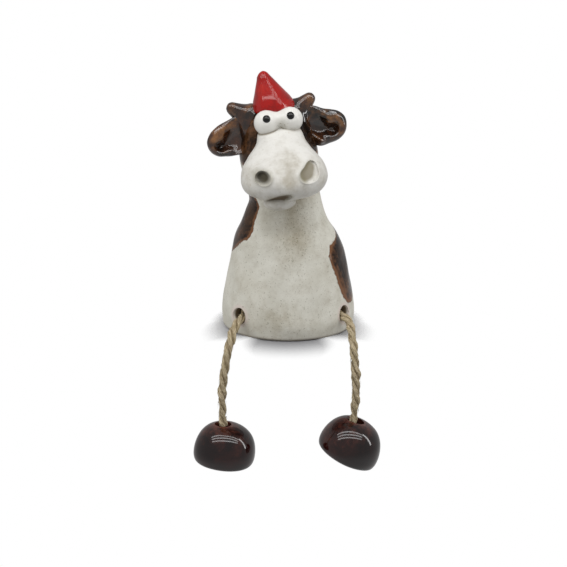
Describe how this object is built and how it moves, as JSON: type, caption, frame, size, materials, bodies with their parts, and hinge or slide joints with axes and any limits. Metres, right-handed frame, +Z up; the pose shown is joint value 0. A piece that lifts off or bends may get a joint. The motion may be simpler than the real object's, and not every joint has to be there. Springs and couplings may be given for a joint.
{
  "type": "cow figurine",
  "caption": "Glazed pottery cow that sits on a shelf edge, with a bell-shaped hollow body, a pointed hat and rope legs that dangle with a hoof on each.",
  "frame": {"origin": "centre of the bell's flat foot, on the plane of the shelf top", "axes": "+Z up, the cow looks along -Y, +X is the viewer's right; the legs hang below z = 0 in front of the foot"},
  "size_m": [0.1172, 0.1121, 0.241],
  "materials": {
    "body_clay": "matt cream slip on unglazed clay",
    "face_clay": "satin white slip",
    "brown_glaze": "glossy dark brown glaze that breaks to amber",
    "red_glaze": "glossy red glaze",
    "eye_glaze": "smooth white glaze",
    "pupil_glaze": "glossy black glaze",
    "hoof_glaze": "glossy dark maroon glaze",
    "jute_rope": "natural three-strand laid jute"
  },
  "bodies": {
    "root": {"body_shell": "body_clay", "head_shell": "brown_glaze", "muzzle": "face_clay", "chin": "face_clay", "hat": "red_glaze", "left_eye": "eye_glaze", "right_eye": "eye_glaze", "left_pupil": "pupil_glaze", "right_pupil": "pupil_glaze", "left_horn": "brown_glaze", "right_horn": "brown_glaze", "left_ear": "brown_glaze", "right_ear": "brown_glaze", "left_inner_knot": "jute_rope", "right_inner_knot": "jute_rope"},
    "left_hip": {"left_rope_bend": "jute_rope"},
    "left_leg": {"left_rope_drop": "jute_rope"},
    "left_ankle": {"left_end_knot": "jute_rope"},
    "left_foot": {"left_hoof": "hoof_glaze"},
    "right_hip": {"right_rope_bend": "jute_rope"},
    "right_leg": {"right_rope_drop": "jute_rope"},
    "right_ankle": {"right_end_knot": "jute_rope"},
    "right_foot": {"right_hoof": "hoof_glaze"}
  },
  "joints": [
    {"name": "left_leg_swing", "type": "hinge", "parent": "root", "child": "left_hip", "pos_m": [-0.0403, -0.05, 0.002], "axis": [-1, 0, 0], "range_deg": [0, 85], "deforming": ["left_rope_bend"]},
    {"name": "left_leg_spread", "type": "hinge", "parent": "left_hip", "child": "left_leg", "pos_m": [-0.0403, -0.05, 0.002], "axis": [0, 1, 0], "range_deg": [-15, 40]},
    {"name": "left_hoof_rock", "type": "hinge", "parent": "left_leg", "child": "left_ankle", "pos_m": [-0.04034, -0.05005, -0.0497], "axis": [0, 1, 0], "range_deg": [-30, 24]},
    {"name": "left_hoof_swivel", "type": "hinge", "parent": "left_ankle", "child": "left_foot", "pos_m": [-0.04034, -0.05005, -0.0497], "axis": [0, 0, 1], "continuous": true},
    {"name": "right_leg_swing", "type": "hinge", "parent": "root", "child": "right_hip", "pos_m": [0.0423, -0.05, 0.002], "axis": [-1, 0, 0], "range_deg": [0, 85], "deforming": ["right_rope_bend"]},
    {"name": "right_leg_spread", "type": "hinge", "parent": "right_hip", "child": "right_leg", "pos_m": [0.0423, -0.05, 0.002], "axis": [0, -1, 0], "range_deg": [-15, 40]},
    {"name": "right_hoof_rock", "type": "hinge", "parent": "right_leg", "child": "right_ankle", "pos_m": [0.04228, -0.05004, -0.0475], "axis": [0, 1, 0], "range_deg": [-40, 10]},
    {"name": "right_hoof_swivel", "type": "hinge", "parent": "right_ankle", "child": "right_foot", "pos_m": [0.04228, -0.05004, -0.0475], "axis": [0, 0, 1], "continuous": true}
  ]
}
